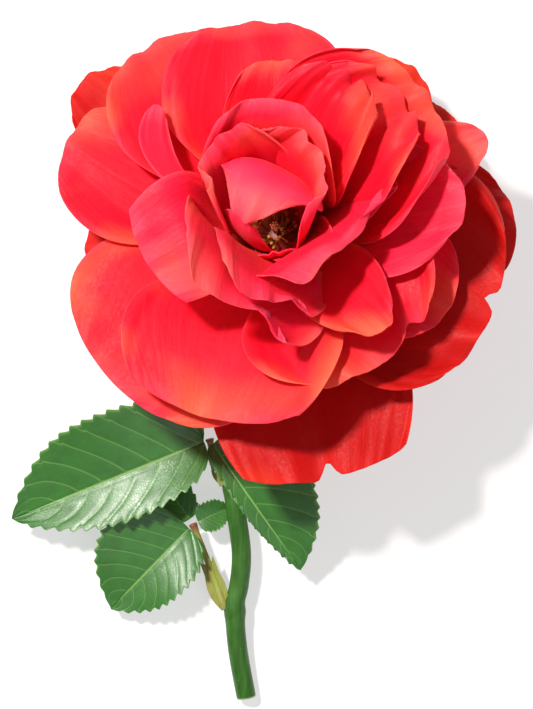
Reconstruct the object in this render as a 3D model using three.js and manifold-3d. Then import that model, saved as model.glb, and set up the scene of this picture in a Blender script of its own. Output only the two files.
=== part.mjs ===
// A cut garden rose lying on a flat surface with its bloom facing up.
// Millimetres, +Z up. The stem lies along -Y and the bloom leans a little towards +Y.
// Every petal, sepal and leaflet is a thin curved blade worked out by one rule:
// a midrib that bends away from its root, and a cross-section that cups around it.
import * as THREE from 'three';
import { mergeVertices } from 'three/addons/utils/BufferGeometryUtils.js';
import Module from 'manifold-3d';

const wasm = await Module();
wasm.setup();

// ---------------------------------------------------------------- driving sizes
const BLOOM_WIDTH = 105;      // across the open bloom; the petal table is written for this size
const DRAWN_BLOOM = 105;      // the bloom width that the petal table's lengths belong to
const STEM_LENGTH = 122;      // hip to cut end, along the stem
const DRAWN_STEM = 122;       // the stem length that the route's points belong to
const HEAD_HEIGHT = 22;       // petal ring above the surface
const HEAD_TILT = 17;         // degrees that the bloom leans over
const HEAD_LEAN = 110;        // direction it leans to, degrees from +X
const HIP_RADIUS = 7.5;       // receptacle at the outermost petals
const DRAWN_HIP = 7.5;        // the hip radius that the urn's profile belongs to
const HIP_HEIGHT = 8.4;       // dome from the outermost petals to the stamens
const HIP_LOW = -3.6;         // height of the outermost petals on the bloom's axis
const HIP_END = -13.5;        // where the hip meets the stem
const DOME_SHARE = 0.94;      // share of the dome's height at which its flat top is
const STEM_RADIUS_TOP = 1.7;
const STEM_RADIUS_CUT = 2.3;
const STALK_RADIUS = 0.85;    // leaf stalks
const JOINT_STEP = 0.2;       // from a leaf stalk's swollen end to a leaflet's root, past the gap
const NODE_SWELL = 0.25;      // how much thicker the stem is where a leaf stalk grows
const PETAL_WALL = 0.5;
const LEAF_WALL = 0.5;
const LEAF_TIP = 0.12;        // half-width left at a leaf's point
const SEPAL_WALL = 0.6;
const GAP = 0.3;              // kept between neighbours
const STAMEN_COUNT = 12;
const STAMEN_LENGTH = 8;
const STAMEN_RING = { inside: 1.4, outside: 2.5, height: 0.7 };
const FILAMENT_RADIUS = 0.3;
const ANTHER_RADIUS = 0.75;
const PISTIL_HEIGHT = 5;
const PISTIL_RADIUS = 1.1;
const SEPAL_COUNT = 5;
const SEPAL_LENGTH = 21;
const SEPAL_WIDTH = 7.5;
const SEPAL_HEIGHT = -5.2;    // height of the sepals' roots on the bloom's axis
const SEPAL_SEAT = 5.8;       // radius of the sepals' roots on the drawn hip
const SURFACE = 0.35;         // the lowest that a blade's middle comes to
const CRUMB = 0.004;          // slivers narrower than this are dropped after a cut
const SETTLE = 1.1;           // how softly a blade bends flat where it meets the surface

// ---------------------------------------------------------------- small helpers
const rad = THREE.MathUtils.degToRad;
const ease = (x) => THREE.MathUtils.smoothstep(x, 0, 1);
const UP = new THREE.Vector3(0, 0, 1);
const LEAN_AXIS = new THREE.Vector3(-Math.sin(rad(HEAD_LEAN)), Math.cos(rad(HEAD_LEAN)), 0);
const headTurn = new THREE.Matrix4().makeRotationAxis(LEAN_AXIS, rad(HEAD_TILT));
const headPlace = new THREE.Matrix4().makeTranslation(0, 0, HEAD_HEIGHT).multiply(headTurn);

// Four numbers blended along a blade from root to tip, as a cubic Bezier blends its points.
function blend([a, b, c, d], t) {
  const u = 1 - t;
  return a * u ** 3 + 3 * b * u * u * t + 3 * c * u * t * t + d * t ** 3;
}

// Radius of the receptacle's dome at a height on the bloom's axis: a quarter ellipse.
function seatRadius(height) {
  const rise = Math.max(height - HIP_LOW, 0) / HIP_HEIGHT;
  return HIP_RADIUS * Math.sqrt(1 - rise * rise);
}

// ---------------------------------------------------------------- blades
const BLADE = {
  height: 0, root: 3.2, pitch: [50, 75, 90, 100], yaw: 0, twist: 0, cup: [40, 20], fold: 0,
  lip: 0, lipFrom: 0.8, lipTo: 1, roll: [0, 0], rollFrom: 0.7, notch: [0, 0, 0.12],
  widest: 0.6, narrow: 1.4, square: 0.5, lopsided: 0, outline: petalOutline,
};

// Half-width and place along the midrib of the outline point (u across, v along).
function petalOutline(b, u, v) {
  const half = b.width / 2;
  const share = b.root / b.width;
  const low = Math.min(v / b.widest, 1);
  const high = Math.max((v - b.widest) / (1 - b.widest), 0);
  const grow = share + (1 - share) * Math.sin(Math.PI / 2 * low) ** b.narrow;
  const side = u * half * grow * Math.sqrt(1 - b.square * high * high);
  const round = b.widest + (1 - b.widest) * high * Math.sqrt(1 - b.square * u * u);
  const [where, deep, wide] = b.notch;
  const bite = deep / b.length * Math.exp(-(((u - where) / wide) ** 2)) * ease(high);
  return [side, (v <= b.widest ? v : round) - bite];
}

// A leaf's outline: widest below the middle, drawn out to a point.
function leafOutline(b, u, v) {
  const rise = b.widest / (1 - b.widest);
  const peak = b.widest ** rise * (1 - b.widest);
  const point = 0.62 + 0.3 * ease((v - b.widest) / (1 - b.widest));
  const swell = (v ** rise * (1 - v) / peak) ** point * (1 + b.lopsided * u);
  return [u * (b.root / 2 * (1 - v) + b.width / 2 * swell + LEAF_TIP), v];
}

// Frames along the midrib: pitch is measured from straight up, and yaw and twist turn it.
function midribFrames(b, steps) {
  const frames = [];
  const place = new THREE.Vector3(b.radius ?? 0, 0, b.height);
  for (let i = 0; i <= steps; i++) {
    const t = i / steps;
    const pitch = rad(blend(b.pitch, t) + b.lip * ease((t - b.lipFrom) / (b.lipTo - b.lipFrom)));
    const tangent = new THREE.Vector3(Math.sin(pitch), 0, Math.cos(pitch));
    const normal = new THREE.Vector3(-Math.cos(pitch), 0, Math.sin(pitch));
    const side = new THREE.Vector3(0, 1, 0);
    const yaw = rad(b.yaw * t);
    const ahead = tangent.clone().multiplyScalar(Math.cos(yaw)).addScaledVector(side, Math.sin(yaw));
    side.multiplyScalar(Math.cos(yaw)).addScaledVector(tangent, -Math.sin(yaw));
    const twist = rad(b.twist * ease(t * 1.3));
    const across = side.clone().multiplyScalar(Math.cos(twist)).addScaledVector(normal, Math.sin(twist));
    const out = normal.clone().multiplyScalar(Math.cos(twist)).addScaledVector(side, -Math.sin(twist));
    frames.push({ place: place.clone(), across, out });
    place.addScaledVector(ahead, b.length / steps);
  }
  return frames;
}

// The cross-section's slope at share q of the half-width, q from -1 to 1.
function sectionSlope(b, q, t) {
  const cup = rad(b.cup[0] + (b.cup[1] - b.cup[0]) * t) * q;
  const fold = rad(b.fold) * Math.sign(q) * ease(Math.abs(q) / 0.2);
  const near = ease(t * 1.6);
  const rollUp = rad(b.roll[0]) * ease((q - b.rollFrom) / (1 - b.rollFrom)) * near;
  const rollDown = rad(b.roll[1]) * ease((-q - b.rollFrom) / (1 - b.rollFrom)) * near;
  return cup + fold - rollUp + rollDown;
}

// One point of a blade's middle surface.
function bladePoint(b, frames, u, v) {
  const [side, t] = b.outline(b, u, v);
  const at = Math.min(Math.max(t, 0), 1) * (frames.length - 1);
  const i = Math.min(Math.floor(at), frames.length - 2);
  const mix = (key) => frames[i][key].clone().lerp(frames[i + 1][key], at - i);
  const point = mix('place');
  const across = mix('across');
  const out = mix('out');
  const slices = 12;
  const half = b.width / 2;
  for (let k = 0; k < slices; k++) {
    const slope = sectionSlope(b, side / half * (k + 0.5) / slices, t);
    point.addScaledVector(across, side / slices * Math.cos(slope));
    point.addScaledVector(out, side / slices * Math.sin(slope));
  }
  return point;
}

// A blade's grid of middle points in the whole rose's frame, eased up where it meets the surface.
function bladeGrid(b, place, columns, rows) {
  const frames = midribFrames(b, 40);
  const grid = [];
  for (let j = 0; j <= rows; j++) {
    for (let i = 0; i <= columns; i++) {
      const point = bladePoint(b, frames, 2 * i / columns - 1, j / rows).applyMatrix4(place);
      point.z = SURFACE + SETTLE * Math.log1p(Math.exp((point.z - SURFACE) / SETTLE));
      grid.push(point);
    }
  }
  return grid;
}

// Normals of a grid from the steps to its neighbours.
function gridNormals(grid, columns, rows) {
  const at = (i, j) => grid[j * (columns + 1) + i];
  return grid.map((_, n) => {
    const i = n % (columns + 1);
    const j = Math.floor(n / (columns + 1));
    const right = at(Math.min(i + 1, columns), j).clone().sub(at(Math.max(i - 1, 0), j));
    const ahead = at(i, Math.min(j + 1, rows)).clone().sub(at(i, Math.max(j - 1, 0)));
    return ahead.cross(right).normalize();
  });
}

// The same grid with its border carried outwards, in line with the steps that lead to it.
function grownGrid(grid, columns, rows, by) {
  const at = (i, j) => grid[j * (columns + 1) + i];
  return grid.map((point, n) => {
    const i = n % (columns + 1);
    const j = Math.floor(n / (columns + 1));
    const inner = at(Math.min(Math.max(i, 1), columns - 1), Math.min(Math.max(j, 1), rows - 1));
    const out = point.clone().sub(inner);
    return out.lengthSq() > 0 ? point.clone().addScaledVector(out.normalize(), by) : point;
  });
}

// A closed sheet: the grid offset to both sides, with its four edges joined.
function sheetGeometry(grid, columns, rows, wall) {
  const normals = gridNormals(grid, columns, rows);
  const positions = [];
  for (const side of [0.5, -0.5]) {
    grid.forEach((p, n) => positions.push(...p.clone().addScaledVector(normals[n], side * wall)));
  }
  const upper = (i, j) => j * (columns + 1) + i;
  const lower = (i, j) => upper(i, j) + grid.length;
  const faces = [];
  const quad = (a, b, c, d) => faces.push(a, b, c, a, c, d);
  for (let j = 0; j < rows; j++) {
    for (let i = 0; i < columns; i++) {
      quad(upper(i, j), upper(i, j + 1), upper(i + 1, j + 1), upper(i + 1, j));
      quad(lower(i, j), lower(i + 1, j), lower(i + 1, j + 1), lower(i, j + 1));
    }
  }
  for (let i = 0; i < columns; i++) {
    quad(upper(i, 0), upper(i + 1, 0), lower(i + 1, 0), lower(i, 0));
    quad(upper(i + 1, rows), upper(i, rows), lower(i, rows), lower(i + 1, rows));
  }
  for (let j = 0; j < rows; j++) {
    quad(upper(0, j + 1), upper(0, j), lower(0, j), lower(0, j + 1));
    quad(upper(columns, j), upper(columns, j + 1), lower(columns, j + 1), lower(columns, j));
  }
  return indexed(positions, faces);
}

function indexed(positions, faces) {
  const geometry = new THREE.BufferGeometry();
  geometry.setAttribute('position', new THREE.Float32BufferAttribute(positions, 3));
  geometry.setIndex(faces);
  return geometry;
}

// ---------------------------------------------------------------- tubes and turned shapes
// A closed tube along a curve whose radius may change from end to end.
function tubeGeometry(curve, radiusAt, steps, sides) {
  const frames = curve.computeFrenetFrames(steps, false);
  const positions = [];
  const faces = [];
  for (let j = 0; j <= steps; j++) {
    const centre = curve.getPointAt(j / steps);
    for (let i = 0; i < sides; i++) {
      const angle = 2 * Math.PI * i / sides;
      const point = centre.clone()
        .addScaledVector(frames.normals[j], radiusAt(j / steps) * Math.cos(angle))
        .addScaledVector(frames.binormals[j], radiusAt(j / steps) * Math.sin(angle));
      positions.push(...point);
    }
  }
  for (let j = 0; j < steps; j++) {
    for (let i = 0; i < sides; i++) {
      const a = j * sides + i;
      const b = j * sides + (i + 1) % sides;
      faces.push(a, b, b + sides, a, b + sides, a + sides);
    }
  }
  const last = steps * sides;
  for (let i = 1; i < sides - 1; i++) {
    faces.push(0, i + 1, i, last, last + i, last + i + 1);
  }
  return indexed(positions, faces);
}

// A lathe about the bloom's axis. The profile is radius and height pairs from the axis back to it.
function turned(profile, sides) {
  const geometry = new THREE.LatheGeometry(profile.map(([r, h]) => new THREE.Vector2(r, h)), sides);
  return geometry.rotateX(Math.PI / 2).applyMatrix4(headPlace);
}

// ---------------------------------------------------------------- solids
function toSolid(geometry) {
  geometry.deleteAttribute('normal');
  geometry.deleteAttribute('uv');
  const merged = mergeVertices(geometry, 1e-4);
  const solid = new wasm.Manifold(new wasm.Mesh({
    numProp: 3,
    vertProperties: new Float32Array(merged.attributes.position.array),
    triVerts: new Uint32Array(merged.index.array),
  }));
  return solid;
}

function toGeometry(solid) {
  const mesh = solid.getMesh();
  const geometry = indexed(mesh.vertProperties, Array.from(mesh.triVerts));
  geometry.computeVertexNormals();
  return geometry;
}

// A cut can leave crumbs behind: the piece is the largest body.
function largest(solid) {
  return solid.decompose().sort((a, b) => b.volume() - a.volume())[0];
}

// Every piece has its solid and a guard, the same shape grown by the gap, that later pieces stay out of.
const pieces = [];
function addPiece(name, solid, guard, material) {
  const box = guard.boundingBox();
  const meets = (other) => [0, 1, 2].every((k) => (
    other.box.min[k] <= box.max[k] && box.min[k] <= other.box.max[k]));
  let cut = solid;
  for (const other of pieces.filter(meets)) {
    cut = cut.subtract(other.guard);
  }
  pieces.push({ name, solid: largest(cut.simplify(CRUMB)), guard, box, material });
}

function addBlade(name, shape, place, wall, material, columns = 5, rows = 6) {
  const grid = bladeGrid({ ...BLADE, ...shape }, place, columns, rows);
  const wide = grownGrid(grid, columns, rows, GAP);
  const solid = toSolid(sheetGeometry(grid, columns, rows, wall));
  const guard = toSolid(sheetGeometry(wide, columns, rows, wall + 2 * GAP)).add(solid);
  addPiece(name, solid, guard, material);
}

function addTube(name, curve, radiusAt, steps, sides, material) {
  const solid = toSolid(tubeGeometry(curve, radiusAt, steps, sides));
  const guard = toSolid(tubeGeometry(curve, (t) => radiusAt(t) + GAP, steps, sides));
  addPiece(name, solid, guard, material);
}

// ---------------------------------------------------------------- materials
const finish = (color, roughness) => () => (
  new THREE.MeshStandardMaterial({ color, roughness, metalness: 0 }));
const PETAL = finish(0xd4101c, 0.55);
const PETAL_DEEP = finish(0xa00c12, 0.6);
const LEAF = finish(0x2f7a38, 0.4);
const STEM = finish(0x2c7018, 0.45);
const STALK = finish(0x66802a, 0.5);
const STAMEN = finish(0xb0642a, 0.7);
const PISTIL = finish(0xa8b060, 0.6);

// ---------------------------------------------------------------- hip, pistils and stamens
const DOME_TOP = HIP_LOW + HIP_HEIGHT * DOME_SHARE;
function hipProfile(grow) {
  const profile = [[0, HIP_END - grow], [STEM_RADIUS_TOP + grow, HIP_END - grow]];
  for (const [radius, height] of [[3.9, 2.2], [5.2, 5], [4.6, 8]]) {
    profile.push([radius * HIP_RADIUS / DRAWN_HIP + grow, HIP_END + height]);
  }
  const shrink = grow - PETAL_WALL / 2 - GAP;
  for (let k = 0; k <= 5; k++) {
    const height = HIP_LOW + HIP_HEIGHT * DOME_SHARE * k / 5;
    profile.push([seatRadius(height) + shrink, height + grow]);
  }
  profile.push([0, DOME_TOP + grow]);
  return profile;
}

addPiece('hip', toSolid(turned(hipProfile(0), 20)), toSolid(turned(hipProfile(GAP), 20)), STEM);

const pistilProfile = (grow) => [
  [0, DOME_TOP + GAP - grow], [0.7 * PISTIL_RADIUS + grow, DOME_TOP + GAP - grow],
  [0.55 * PISTIL_RADIUS + grow, DOME_TOP + 0.6 * PISTIL_HEIGHT],
  [PISTIL_RADIUS + grow, DOME_TOP + 0.9 * PISTIL_HEIGHT], [0, DOME_TOP + PISTIL_HEIGHT + grow]];
addPiece('pistils', toSolid(turned(pistilProfile(0), 10)), toSolid(turned(pistilProfile(GAP), 10)), PISTIL);

// The stamens stand on one ring: thin filaments that spread outwards, each with an anther.
function stamenRing(grow) {
  const low = DOME_TOP + GAP - grow;
  const high = DOME_TOP + GAP + STAMEN_RING.height + grow;
  const inside = STAMEN_RING.inside - grow;
  const outside = STAMEN_RING.outside + grow;
  const middle = (inside + outside) / 2;
  const section = [[inside, low], [outside, low], [outside, high], [inside, high], [inside, low]];
  let solid = toSolid(turned(section, 20));
  for (let k = 0; k < STAMEN_COUNT; k++) {
    const angle = 2 * Math.PI * (k + 0.3 * Math.sin(5 * k)) / STAMEN_COUNT;
    const reach = STAMEN_LENGTH * (0.85 + 0.15 * Math.sin(7 * k + 1));
    const spread = rad(20 + 9 * Math.sin(4 * k));
    const thick = FILAMENT_RADIUS + grow;
    const filament = new THREE.CylinderGeometry(0.7 * thick, thick, reach, 4);
    filament.rotateX(Math.PI / 2).translate(0, 0, reach / 2);
    const anther = new THREE.SphereGeometry(ANTHER_RADIUS + grow, 5, 3).translate(0, 0, reach);
    for (const part of [filament, anther]) {
      part.rotateY(spread).translate(middle, 0, low + thick).rotateZ(angle).applyMatrix4(headPlace);
      solid = solid.add(toSolid(part));
    }
  }
  return solid;
}
addPiece('stamens', stamenRing(0), stamenRing(GAP), STAMEN);

// ---------------------------------------------------------------- petals, from the centre outwards
// turn: direction on the bloom; height: of the root on the bloom's axis; pitch: lean of the midrib from
// upright, at four stations; cup: slope of the section's edge at root and tip; the rest is in BLADE.
function petal(name, turn, height, length, width, pitch, cup, more = {}) {
  const grow = BLOOM_WIDTH / DRAWN_BLOOM;
  const shape = { ...more, height, length: length * grow, width: width * grow, pitch, cup };
  const place = headPlace.clone().multiply(new THREE.Matrix4().makeRotationZ(rad(turn)));
  const deep = name.startsWith('outer') ? PETAL_DEEP : PETAL;
  const columns = height < 0.5 ? 6 : 4;    // the low, wide petals have a finer grid
  addBlade(`petal_${name}`, { ...shape, radius: seatRadius(height) }, place, PETAL_WALL, deep, columns);
}

petal('centre_hood', 62, 3.6, 47.5, 28, [12, 28, -8, -140], [40, 36], { square: 0.75, narrow: 2 });
petal('centre_left', 230, 3.6, 29, 15, [20, 24, 10, -26], [40, 30], { narrow: 2 });
petal('centre_low', -80, 3.6, 24, 12, [30, 32, 20, 0], [40, 30], { narrow: 2 });
petal('centre_right', -48, 3.2, 31, 16, [14, 28, 32, 36], [40, 30], { lip: 50, lipFrom: 0.8, narrow: 2 });
petal('heart_crinkled_left', 134, 2.8, 37, 30, [6, 12, 15, 17], [75, 66], {
  lip: 40, lipFrom: 0.86, narrow: 2 });
petal('heart_crinkled_right', 32, 2.8, 37, 34, [6, 12, 15, 17], [75, 66], {
  lip: 40, lipFrom: 0.86, narrow: 2 });
petal('heart_arch', 80, 2.2, 39, 38, [8, 18, 22, 26], [80, 66], { lip: 40, lipFrom: 0.82, narrow: 2 });
petal('heart_left_inner', -87, 2.6, 41, 30, [12, 30, 36, 38], [30, 0], {
  lip: 56, lipFrom: 0.87, lipTo: 0.97, square: 0.4, twist: -43, narrow: 2.4 });
petal('heart_left', -103, 2.0, 43, 42, [12, 30, 35, 39], [26, -6], {
  lip: 56, lipFrom: 0.87, lipTo: 0.97, square: 0.45, twist: -42, narrow: 2 });
petal('heart_ribbon', -35, 2.4, 41, 41, [11, 26, 32, 35], [34, 4], {
  lip: 92, lipFrom: 0.85, lipTo: 0.96, notch: [-0.35, 3, 0.5], square: 0.36, twist: -19, narrow: 2 });
petal('inner_left_ribbon', 217, 1.8, 50.5, 7.5, [8, 18, 50, 90], [40, -10], {
  square: 0.5, yaw: -142, widest: 0.76, narrow: 1.2 });
petal('inner_left_panel', -150, 1.2, 44, 29, [10, 22, 28, 30], [46, 4], {
  lip: 72, lipFrom: 0.62, lipTo: 0.82, square: 0.3, twist: -8, narrow: 1.6 });
petal('inner_low_right', -54, 1.0, 44, 21, [26, 44, 62, 80], [46, 22], {
  square: 0.6, yaw: 10, narrow: 1.5 });
petal('inner_top', 85, 1.8, 39.5, 26, [16, 38, 54, 70], [44, 36], { lip: 30, narrow: 1.8 });
petal('inner_cup', 52, 2, 45, 29, [12, 30, 44, 56], [62, 50], { lip: 70, lipFrom: 0.8, narrow: 1.6 });
petal('inner_rolled', 36, 1.4, 46, 38, [18, 39, 50, 60], [56, 42], {
  lip: 55, lipFrom: 0.75, roll: [0, 50], narrow: 1.6 });
petal('inner_upper_right', 33, 0.6, 46.5, 50, [26, 50, 62, 68], [56, 40], { lip: 30, lipFrom: 0.86 });
petal('middle_right', -1, 0.4, 46.5, 33, [27, 53, 67, 75], [44, 24], {
  roll: [70, 0], rollFrom: 0.6, square: 0.6, twist: 12 });
petal('middle_right_lobe', -27, -1.4, 40.5, 33, [44, 72, 84, 88], [34, 18], { twist: -4 });
petal('middle_lower_right', -53, -0.3, 41.5, 50, [34, 61, 76, 86], [42, 22], {
  notch: [0.5, 2.5, 0.1], twist: 2 });
petal('middle_lower_left', -105, -1, 45.5, 52, [38, 66, 82, 92], [40, 20], { square: 0.42, twist: 6 });
petal('middle_right_tip', 21, -1.8, 47.5, 22, [50, 74, 80, 80], [30, 10], { square: 0.6 });
petal('middle_top', 99, -0.4, 46, 44, [46, 72, 88, 102], [38, 20], { roll: [60, 0], twist: 6 });
petal('middle_upper_left', 123, -1.2, 50, 40, [52, 76, 92, 104], [34, 16], { roll: [40, 0], twist: 6 });
petal('outer_lower_right', -22, -2.2, 47, 56, [58, 83, 90, 94], [30, 12], {
  notch: [0.12, 3, 0.08], twist: 2 });
petal('outer_left', 153, -2.4, 48, 41, [58, 82, 90, 94], [28, 14], { notch: [-0.7, 3, 0.08], twist: 4 });
petal('outer_lower_left', -134, -2.4, 45, 57, [55, 82, 88, 96], [30, 12], { roll: [0, 40], twist: 4 });
petal('outer_upper_right', 53, -2.2, 45, 28, [56, 84, 95, 102], [25, 8]);
petal('outer_right', 3, -3.6, 47.5, 38, [72, 95, 98, 98], [22, 8], { twist: -4 });
petal('outer_bottom', -78, -3.6, 51.5, 46, [66, 89, 94, 96], [24, 8], {
  notch: [0.02, 4, 0.09], square: 0.34 });
petal('outer_top', 77, -3.0, 44, 38, [66, 92, 104, 112], [22, 6]);
petal('outer_upper_right_low', 38, -3.6, 44.5, 32, [76, 99, 104, 106], [20, 6], { roll: [30, 0] });
petal('outer_left_low', 180, -3.4, 39, 32, [75, 98, 102, 104], [25, 5]);
petal('outer_upper_left_low', 139, -3.5, 57, 26, [72, 94, 99, 102], [25, 5]);

// ---------------------------------------------------------------- sepals, bent back below the petals
for (let k = 0; k < SEPAL_COUNT; k++) {
  const shape = {
    outline: leafOutline, radius: SEPAL_SEAT * HIP_RADIUS / DRAWN_HIP, height: SEPAL_HEIGHT, root: 4.5,
    length: SEPAL_LENGTH, width: SEPAL_WIDTH, pitch: [92, 104, 112, 104 + 8 * Math.sin(3 * k)],
    cup: [-30, -10], widest: 0.3,
  };
  const turn = new THREE.Matrix4().makeRotationZ(rad(360 * k / SEPAL_COUNT + 20));
  const place = headPlace.clone().multiply(turn);
  addBlade(`sepal_${k + 1}`, shape, place, SEPAL_WALL, LEAF, 4, 6);
}

// ---------------------------------------------------------------- stem
// The stem's route, from below the hip to the cut end. It bends sharply at the neck and lies down.
const hipEnd = new THREE.Vector3(0, 0, HIP_END - GAP).applyMatrix4(headPlace);
const stemScale = STEM_LENGTH / DRAWN_STEM;
const stemPoint = (x, y, z) => new THREE.Vector3(hipEnd.x + x * stemScale, hipEnd.y + y * stemScale, z);
const stemRoute = new THREE.CatmullRomCurve3([
  hipEnd,
  stemPoint(0.6, -2.6, hipEnd.z - 4),
  stemPoint(-0.1, -7.2, 2.2),
  stemPoint(-2.5, -15.2, 2.2),
  stemPoint(-6.9, -30.2, 4.2),
  stemPoint(-11.7, -48.6, 6.4),
  stemPoint(-11.7, -56.2, 6.6),
  stemPoint(-10, -69.3, 6),
  stemPoint(-10.5, -77.3, 5.2),
  stemPoint(-11.5, -82.6, 4.7),
  stemPoint(-10.9, -92.4, 3.7),
  stemPoint(-8.8, -104.4, 2.65),
]);
const UPPER_NODE = 0.54;      // places along the stem where a leaf stalk grows
const LOWER_NODE = 0.81;
const bump = (t, where) => Math.exp(-(((t - where) / 0.02) ** 2));
const stemRadius = (t) => (
  STEM_RADIUS_TOP + (STEM_RADIUS_CUT - STEM_RADIUS_TOP) * ease(t / 0.6)
  + NODE_SWELL * (bump(t, UPPER_NODE) + bump(t, LOWER_NODE)));
addTube('stem', stemRoute, stemRadius, 40, 10, STEM);

// ---------------------------------------------------------------- leaf stalks and leaflets
// A leaf grows at a node: a stalk along offsets from the stem's centre, then leaflets at its joint.
function leafStalk(name, node, leave, offsets, wings) {
  const root = stemRoute.getPointAt(node);
  const side = new THREE.Vector3(...leave).normalize();
  const start = root.clone().addScaledVector(side, stemRadius(node) + GAP);
  const route = new THREE.CatmullRomCurve3([start, ...offsets.map((p) => new THREE.Vector3(...p).add(root))]);
  const stalkRadius = (t) => STALK_RADIUS * (1.25 - 0.35 * ease(t / 0.3) + 0.25 * ease((t - 0.9) / 0.1));
  const wing = (grow) => toSolid(wingGeometry(route, wings, grow));
  const tube = (grow) => toSolid(tubeGeometry(route, (t) => stalkRadius(t) + grow, 14, 8));
  addPiece(name, tube(0).add(wing(0)), tube(GAP).add(wing(GAP)), STALK);
  return route.getPoint(1);
}

// The stipule: two thin ears along the first part of a leaf stalk.
function wingGeometry(route, { reach, width, lean }, grow) {
  const rows = 5;
  const grid = [];
  for (let j = 0; j <= rows; j++) {
    const t = 0.04 + (reach - 0.04) * j / rows;
    const along = route.getTangentAt(t);
    const across = along.clone().cross(UP).normalize().applyAxisAngle(along, rad(lean));
    const half = (width / 2 + grow) * (0.55 + 0.45 * Math.sin(Math.PI * Math.min(j / rows, 0.8)));
    for (const u of [-1, 0, 1]) {
      const ear = (j === rows && u !== 0) ? 1.6 : 0;
      grid.push(route.getPointAt(t).addScaledVector(across, u * half).addScaledVector(along, ear));
    }
  }
  return sheetGeometry(grid, 2, rows, 0.5 + 2 * grow);
}

function leaflet(name, base, heading, length, width, pitch, more = {}) {
  const away = new THREE.Matrix4().makeTranslation(base.x, base.y, base.z);
  const place = away.multiply(new THREE.Matrix4().makeRotationZ(rad(heading)));
  const radius = STALK_RADIUS + GAP + JOINT_STEP;
  const shape = { outline: leafOutline, root: 2, widest: 0.42, cup: [10, 6], fold: 14, length, width, pitch };
  addBlade(name, { ...shape, radius, ...more }, place, LEAF_WALL, LEAF, 4, 7);
}

const upperJoint = leafStalk('leaf_stalk_upper', UPPER_NODE, [-0.9, 0.3, 0.25],
  [[-4.3, 6.2, 1.4], [-5.5, 11.5, 2.6]], { reach: 0.5, width: 3.4, lean: 40 });
leaflet('leaflet_upper_left', upperJoint, -158, 49, 25, [78, 96, 100, 96], {
  height: 1.4, fold: 16, lopsided: -0.22 });
leaflet('leaflet_upper_right', upperJoint, -55, 37, 18, [58, 96, 112, 98], {
  height: 0.6, twist: 14, lopsided: 0.8 });
leaflet('leaflet_upper_hidden', upperJoint, 176, 25, 12, [98, 104, 98, 90], { height: -0.8 });

const lowerJoint = leafStalk('leaf_stalk_lower', LOWER_NODE, [-1, 0.35, 0.1],
  [[-5.8, 10.5, 0.4], [-9.9, 21, 1.6]], { reach: 0.5, width: 4.6, lean: 15 });
leaflet('leaflet_lower_end', lowerJoint, -134, 27, 22.5, [74, 92, 106, 104], {
  height: 0.9, fold: 12, lopsided: -0.25 });
leaflet('leaflet_lower_left', lowerJoint, 125, 19, 8.5, [96, 102, 100, 92], { height: 0, fold: 20 });
leaflet('leaflet_lower_right', lowerJoint, 24, 13, 6.5, [92, 112, 114, 100], { height: 0, fold: 20 });

// ---------------------------------------------------------------- the whole rose
const rose = new THREE.Group();
for (const piece of pieces) {
  const mesh = new THREE.Mesh(toGeometry(piece.solid), piece.material());
  mesh.name = piece.name;
  rose.add(mesh);
}

// The origin is the middle of the rose's box, at the height of the surface that it lies on.
const box = new THREE.Box3().setFromObject(rose);
rose.position.set(-(box.min.x + box.max.x) / 2, -(box.min.y + box.max.y) / 2, -box.min.z);
rose.updateMatrixWorld(true);

export default rose;
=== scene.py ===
# %% [markdown]
# A cut garden rose. It lies on its back on a table: the stem is flat, the neck is bent, and the
# open bloom looks up. On the real flower every petal is a separate thin blade that grows from the
# rim of the hip, so the bloom is built here petal by petal, and each one stands where its plain
# solid stands in the imported frame. First the frame is loaded.

# %% Load the frame
import bpy
import numpy as np
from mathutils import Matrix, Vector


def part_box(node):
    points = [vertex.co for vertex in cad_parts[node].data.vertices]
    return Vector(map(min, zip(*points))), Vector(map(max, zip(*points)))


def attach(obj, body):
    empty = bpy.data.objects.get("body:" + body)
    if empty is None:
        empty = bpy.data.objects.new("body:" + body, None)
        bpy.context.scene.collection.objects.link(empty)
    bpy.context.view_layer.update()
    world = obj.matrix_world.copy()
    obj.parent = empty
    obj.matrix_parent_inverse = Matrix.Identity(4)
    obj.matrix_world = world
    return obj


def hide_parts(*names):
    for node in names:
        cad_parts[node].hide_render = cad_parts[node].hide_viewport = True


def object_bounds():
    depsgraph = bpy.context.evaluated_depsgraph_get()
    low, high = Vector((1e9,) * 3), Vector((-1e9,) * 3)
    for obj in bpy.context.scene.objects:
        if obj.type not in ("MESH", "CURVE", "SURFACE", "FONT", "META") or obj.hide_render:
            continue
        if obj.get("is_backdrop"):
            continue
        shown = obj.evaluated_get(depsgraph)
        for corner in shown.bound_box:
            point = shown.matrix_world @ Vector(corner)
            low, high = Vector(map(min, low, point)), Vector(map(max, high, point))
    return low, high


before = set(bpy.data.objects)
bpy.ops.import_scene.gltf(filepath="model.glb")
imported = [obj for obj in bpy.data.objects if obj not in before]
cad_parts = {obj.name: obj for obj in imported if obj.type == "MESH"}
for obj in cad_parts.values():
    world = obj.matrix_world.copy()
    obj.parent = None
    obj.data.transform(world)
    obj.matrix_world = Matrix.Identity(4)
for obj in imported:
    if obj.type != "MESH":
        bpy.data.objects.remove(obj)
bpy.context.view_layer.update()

# %% [markdown]
# The shapes are worked out in millimetres in a growing frame: the hip stands on the middle of the
# petal ring, which leans over a little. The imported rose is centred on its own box, so one step from
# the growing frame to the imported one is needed. The hip's lowest and highest corners give it,
# because the hip is a plain turned shape whose place in the growing frame is known.

# %% Driving sizes and the growing frame
MM = 0.001
# The bloom's middle above the table, how far it leans in degrees, and towards which direction.
HEAD_HEIGHT, HEAD_TILT, HEAD_LEAN = 22.0, 17.0, 110.0
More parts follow.
